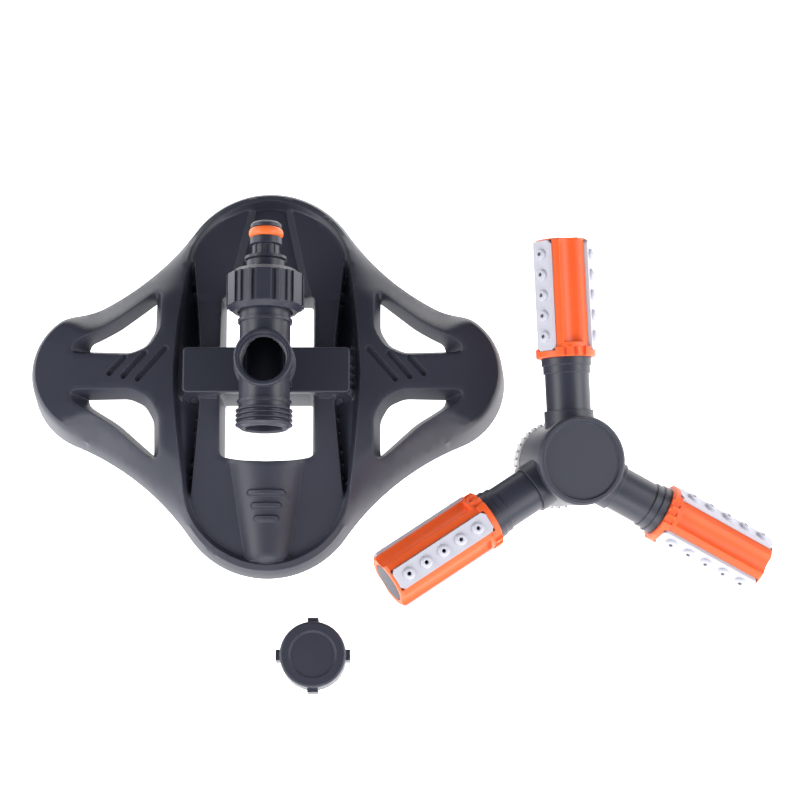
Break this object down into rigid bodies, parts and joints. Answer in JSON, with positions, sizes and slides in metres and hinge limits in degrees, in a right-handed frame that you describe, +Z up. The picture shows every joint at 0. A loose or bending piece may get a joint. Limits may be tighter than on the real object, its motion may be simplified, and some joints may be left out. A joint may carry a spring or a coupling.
{
  "type": "rotating lawn sprinkler",
  "caption": "Rotating lawn sprinkler laid out in pieces: lobed sled base with a hose tee, a rotor with nozzle heads on its arms, and a loose outlet cap.",
  "frame": {"origin": "middle of the sled base at floor level, straight below the axis of the tee's upright socket", "axes": "+Z up, +Y towards the hose inlet, +X to the right of the base where the rotor lies"},
  "size_m": [0.3478, 0.2423, 0.0685],
  "materials": {
    "shell_charcoal": "fine grained matt charcoal polypropylene",
    "saddle_charcoal": "matt charcoal plastic",
    "screw_steel": "zinc plated steel",
    "tee_charcoal": "satin charcoal plastic",
    "nipple_charcoal": "satin charcoal plastic",
    "washer_rubber": "plain black rubber",
    "seal_orange": "smooth orange rubber",
    "nut_charcoal": "satin charcoal plastic",
    "stem_charcoal": "satin charcoal plastic",
    "ring_milky": "milky slightly clear plastic",
    "bearing_white": "smooth white slip plastic",
    "hub_charcoal": "satin charcoal plastic",
    "arm_charcoal": "matt charcoal plastic",
    "carrier_orange": "satin orange plastic",
    "strip_grey": "satin light grey plastic",
    "plug_charcoal": "matt charcoal plastic",
    "cap_charcoal": "satin charcoal plastic"
  },
  "bodies": {
    "base": {"base_shell": "shell_charcoal", "saddle_plate": "saddle_charcoal", "saddle_screws": "screw_steel", "tee_body": "tee_charcoal", "inlet_nipple": "nipple_charcoal", "inlet_washer": "washer_rubber", "nipple_seal": "seal_orange"},
    "nut": {"inlet_nut": "nut_charcoal"},
    "spindle": {"stem": "stem_charcoal", "lock_ring": "ring_milky", "stem_seal": "washer_rubber"},
    "rotor": {"hub_body": "hub_charcoal", "hub_cover": "hub_charcoal", "bearing_washer": "bearing_white", "arm_tube_1": "arm_charcoal", "arm_tube_2": "arm_charcoal", "arm_tube_3": "arm_charcoal", "arm_seal_1": "washer_rubber", "arm_seal_2": "washer_rubber", "arm_seal_3": "washer_rubber", "head_plug_1": "plug_charcoal", "head_plug_2": "plug_charcoal", "head_plug_3": "plug_charcoal"},
    "head_1": {"head_carrier_1": "carrier_orange", "nozzle_strips_1": "strip_grey"},
    "head_2": {"head_carrier_2": "carrier_orange", "nozzle_strips_2": "strip_grey"},
    "head_3": {"head_carrier_3": "carrier_orange", "nozzle_strips_3": "strip_grey"},
    "cap": {"outlet_cap": "cap_charcoal", "cap_washer": "washer_rubber"}
  },
  "joints": [
    {"name": "nut_spin", "type": "hinge", "parent": "base", "child": "nut", "pos_m": [0, 0.034, 0.04495], "axis": [0, 1, 0], "continuous": true},
    {"name": "rotor_lift", "type": "slide", "parent": "base", "child": "spindle", "axis": [0, 0, 1], "range_m": [0, 0.12]},
    {"name": "rotor_spin", "type": "hinge", "parent": "spindle", "child": "rotor", "pos_m": [0.141, -0.0457, 0.04067], "axis": [0.2424, -0.1209, 0.9626], "continuous": true},
    {"name": "head_1_turn", "type": "hinge", "parent": "rotor", "child": "head_1", "pos_m": [0.13768, 0.02853, 0.05083], "axis": [-0.0443, 0.9898, 0.1354], "continuous": true},
    {"name": "head_2_turn", "type": "hinge", "parent": "rotor", "child": "head_2", "pos_m": [0.20561, -0.07791, 0.02036], "axis": [0.8615, -0.4295, -0.2709], "continuous": true},
    {"name": "head_3_turn", "type": "hinge", "parent": "rotor", "child": "head_3", "pos_m": [0.07971, -0.08772, 0.05083], "axis": [-0.8172, -0.5603, 0.1354], "continuous": true},
    {"name": "cap_lift", "type": "slide", "parent": "base", "child": "cap", "axis": [0, 0, 1], "range_m": [0, 0.08]}
  ]
}
